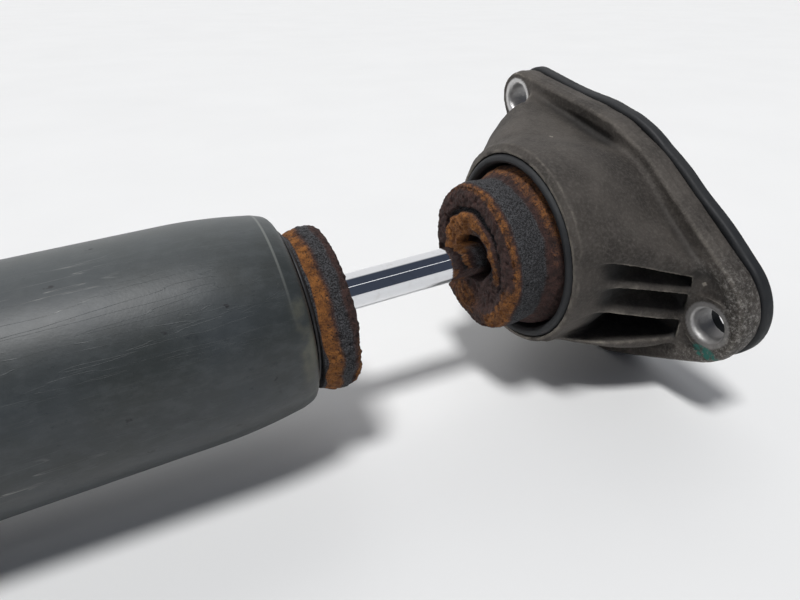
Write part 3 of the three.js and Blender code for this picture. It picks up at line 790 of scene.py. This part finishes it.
def hub_shell(x, from_axis):
    """The collar, and the hub that narrows behind it."""
    hub_r = np.interp(x, [COLLAR, COLLAR + 1.2, COLLAR + 6, 100.5, FLANGE_FRONT],
                      [COLLAR_R - 0.9, COLLAR_R, COLLAR_R, COLLAR_R - 0.2, WEB_HUB[2]])
    return np.maximum(from_axis - hub_r, np.maximum(COLLAR - x, x - FLANGE_FRONT - 3))


def rimmed_flange(x, edge):
    """The flange, whose raised rim has a thin parting line round its side."""
    plate = slab(edge, x, FLANGE_FRONT, FLANGE_BACK, 1.2)
    rim = slab(np.abs(edge + RIM_WIDTH / 2) - RIM_WIDTH / 2, x, FLANGE_FRONT - RIM_PROUD,
               FLANGE_BACK - 2, 1.2)
    parting = 0.3 * np.exp(-((x - FLANGE_FRONT - 2.6) / 0.7) ** 2) * (np.abs(edge) < 1.5)
    return soft_min(plate, rim, 1.5) - parting


def bolt_seat(body, x, away, flare):
    """Adds a bolt's boss, hole and head room, which widens away from the flange by the flare."""
    front = FLANGE_FRONT - RIM_PROUD
    boss = np.maximum(away - BOSS_R, np.maximum(front - x, x - FLANGE_BACK))
    room = away - HEAD_ROOM_R - flare * np.clip(FLANGE_FRONT - x, 0, HEAD_ROOM)
    body = soft_cut(body, np.maximum(room, x - front), 2.5)
    body = soft_min(body, boss, 1.2)
    return np.maximum(body, BOLT_R + np.clip(FLANGE_FRONT - x, 0, 0.8) - away)


def housing_masks(points):
    """Where the casting is bare, glinting or marked with teal, and where shade is painted into its pockets and the
    recess inside its rim.
    """
    x, y, z = points.T
    edge = outline(y, z)
    u, v = by_lobe(y, z)
    deep = np.minimum.reduce([polygon(u, v, corners) for corners in POCKETS])
    ring = from_bolts(y, z)
    worn = np.where(y > 0, 0.9, 0.3)  # the spot face is brighter round the upper bolt
    bare = step(ring, SPOT_R + 0.9, SPOT_R + 0.3) * np.maximum(worn, 0.7 * step(ring, 6.9, 6.5))
    bare = bare * step(x, FLANGE_FRONT - 2.4, FLANGE_FRONT - 1.4)
    long_side = step(RIM_SIDE[0] * y + RIM_SIDE[1] * z, 6, 14)
    # painted shade: darkest deep in the pockets, and darker in the recess inside the long upper rim
    recess = long_side * step(np.abs(edge + 9), 6, 2) * step(x, 121, 127) * step(ring, 14, 19)
    hollow_shade = np.clip(step(deep, 1, -0.6) * step(x, 92, 100) * 0.95 + 0.75 * recess, 0, 1)
    from_lower = (y - LOWER_BOLT[0], z - LOWER_BOLT[1])
    sparkle = step(np.hypot(*from_lower), 30, 10) * step(edge, -9, -3)
    mark = np.hypot((from_lower[0] + 1) / 5.5, (from_lower[1] + 10.4) / 2.2)
    teal = step(mark, 1.15, 0.8) * (x < 131)
    return {"bare": bare, "hollow_shade": hollow_shade * (1 - bare), "sparkle": sparkle, "teal": teal}


def housing():
    low, high = (82.5, -66, -59), (140, 73, 51)
    x, y, z = grid(low, high, CAST_STEP)
    from_axis = np.hypot(y, z)
    body = soft_min(hub_shell(x, from_axis), web(x, y, z), 2.5)
    body = soft_min(body, rimmed_flange(x, outline(y, z)), 3.5)
    for (by, bz), flare in ((UPPER_BOLT, 0.9), (LOWER_BOLT, 0.1)):
        body = bolt_seat(body, x, np.hypot(y - by, z - bz), flare)
    bore = np.interp(x, [CUP_BACK + GAP, CUP_BACK + GAP + 0.1, BULKHEAD, BULKHEAD + 0.1, PLATE_SEAT,
                         PLATE_SEAT + 0.1],
                     [CUP_R + GAP, 20, 20, ISOLATOR_R, ISOLATOR_R, PLATE_R])
    body = np.maximum(body, np.maximum(bore - from_axis, x - FLANGE_BACK))
    points, faces = skin(body, low, CAST_STEP)
    rough = 0.1 * grain(points, 2.1, 51) + 0.14 * grain(points, 6, 52)
    smooth = (np.hypot(points[:, 1], points[:, 2]) < 36) | (points[:, 0] > FLANGE_BACK - 0.5)
    points = points + vertex_normals(points, faces) * np.where(smooth, 0, rough)[:, None]
    piece("mount_housing_shape", points, faces, "top_mount", "mount_housing", CAST,
          40, housing_masks(points))


def gasket():
    low = (FLANGE_BACK - 1, -68, -61)
    x, y, z = grid(low, (FLANGE_BACK + 7, 75, 53), CAST_STEP)
    angle = np.arctan2(z, y)
    # uneven all round but straight at the bottom, where the gasket touches the floor
    wave = (0.35 * np.sin(5 * angle) + 0.25 * np.sin(11 * angle + 1)) * step(z, -52, -40)
    edge = outline(y, z) - 1 - wave
    front = FLANGE_BACK + GAP
    body = slab(edge, x, front, front + GASKET, 1.2)
    body = np.maximum(body, PLATE_R + 0.5 - np.hypot(y, z))
    body = np.maximum(body, 7.5 - from_bolts(y, z))
    points, faces = skin(body, low, CAST_STEP)
    piece("flange_gasket_shape", points, faces, "top_mount", "flange_gasket", GASKET_PAINT,
          40)


def lower_eye():
    low = (EYE_X - 23, -19, -23)
    x, y, z = grid(low, (-298.5, 19, 23), CAST_STEP)
    from_eye = np.hypot(x - EYE_X, z)
    ring = slab(from_eye - 21.5, y, -EYE_HALF, EYE_HALF, 1.5)
    neck_r = np.interp(x, [EYE_X, -300.3], [13, 11])
    neck = np.maximum(np.hypot(y, z) - neck_r, np.maximum(EYE_X - x, x + 300.3))
    body = np.maximum(soft_min(ring, neck, 6), np.maximum(17.1 - from_eye, x + 300.3))
    points, faces = skin(body, low, CAST_STEP)
    piece("lower_eye_shape", points, faces, "damper_body", "lower_eye", TUBE, 40)


def rod_nut():
    size = 0.35
    low = (128.5, -10.5, -10.5)
    x, y, z = grid(low, (138.5, 10.5, 10.5), size)
    flats = np.maximum.reduce([
        np.abs(y * math.cos(a) + z * math.sin(a)) for a in np.radians([30, 90, 150])
    ]) - 9.8 * math.cos(math.pi / 6)
    away = np.hypot(y, z)
    chamfer = away - 9.9 + np.maximum(np.maximum(130.8 - x, x - 136.2), 0) * 1.2
    body = np.maximum(np.maximum(flats, chamfer), np.maximum(129.6 - x, x - 137.4))
    body = np.maximum(body, 5.2 + np.maximum(x - 136.6, 0) - away)
    points, faces = skin(body, low, size)
    piece("rod_nut_shape", points, faces, "rod", "rod_nut", PLATED, 40)


housing()
gasket()
lower_eye()
rod_nut()


# ---- Floor, light and camera ----
def stage():
    paint = Paint("floor_paint", roughness=0.45)
    soft = paint.noise(120, 3)
    paint.put("Base Color", paint.mix(soft, (0.76, 0.76, 0.755), (0.82, 0.82, 0.815)))
    bpy.ops.mesh.primitive_plane_add(size=30)
    floor = bpy.context.object
    floor.name = "floor"
    floor.data.materials.append(paint.material)


def soft_light(name, place, target, length, width, power):
    """A rectangular soft box; place and target are in the row frame, in metres."""
    data = bpy.data.lights.new(name, "AREA")
    data.shape = "RECTANGLE"
    data.size = length
    data.size_y = width
    data.energy = power
    lamp = bpy.data.objects.new(name, data)
    lamp.location = place
    lamp.rotation_euler = (Vector(target) - Vector(place)).to_track_quat("-Z", "Y").to_euler()
    bpy.context.scene.collection.objects.link(lamp)


def sun(direction, softness, strength):
    """Far light along a direction; its angle in degrees softens the shadows."""
    data = bpy.data.lights.new("key", "SUN")
    data.angle = math.radians(softness)
    data.energy = strength
    lamp = bpy.data.objects.new("key", data)
    lamp.rotation_euler = direction.to_track_quat("-Z", "Y").to_euler()
    bpy.context.scene.collection.objects.link(lamp)


def studio():
    """A room that is bright behind the strut and dark above and behind the viewer."""
    world = bpy.data.worlds.new("studio")
    world.use_nodes = True
    tree = world.node_tree
    direction = tree.nodes.new("ShaderNodeTexCoord")
    tilt = tree.nodes.new("ShaderNodeVectorMath")
    tilt.operation = "DOT_PRODUCT"
    tilt.inputs[1].default_value = (0, 0.94, -0.34)
    ramp = tree.nodes.new("ShaderNodeMapRange")
    ramp.interpolation_type = "SMOOTHSTEP"
    ramp.inputs["From Min"].default_value = -0.08
    ramp.inputs["From Max"].default_value = 0.12
    tree.links.new(direction.outputs["Generated"], tilt.inputs[0])
    tree.links.new(tilt.outputs["Value"], ramp.inputs["Value"])
    tint = tree.nodes.new("ShaderNodeMix")
    tint.data_type = "RGBA"
    tint.inputs[6].default_value = (0.05, 0.06, 0.085, 1)
    tint.inputs[7].default_value = (0.84, 0.84, 0.845, 1)
    tree.links.new(ramp.outputs["Result"], tint.inputs["Factor"])
    background = tree.nodes["Background"]
    tree.links.new(tint.outputs[2], background.inputs["Color"])
    bpy.context.scene.world = world


def camera():
    """Close above the tube on the near side, looking along it towards the mount."""
    right = Vector((0.89696, -0.43908, -0.05179))
    up = Vector((0.26140, 0.43219, 0.86307))
    back = right.cross(up)
    data = bpy.data.cameras.new("camera")
    data.sensor_width = 36
    data.lens = 27
    data.clip_start = 0.01
    seen_from = bpy.data.objects.new("camera", data)
    turn = TURN @ Matrix((right, up, back)).transposed()
    place = ORIGIN + TURN @ (Vector((-36.2, -164.9, 96.6)) * MM)
    seen_from.matrix_world = Matrix.Translation(place) @ turn.to_4x4()
    bpy.context.scene.collection.objects.link(seen_from)
    bpy.context.scene.camera = seen_from


stage()
soft_light("strip", (1.1, -0.62, 1.05), (1.1, 0, 0.05), 3, 0.04, 0.7)
sun(Vector((0.25, 0.22, -1)), 14, 2.7)
studio()
bpy.context.scene.view_settings.view_transform = "Standard"
camera()
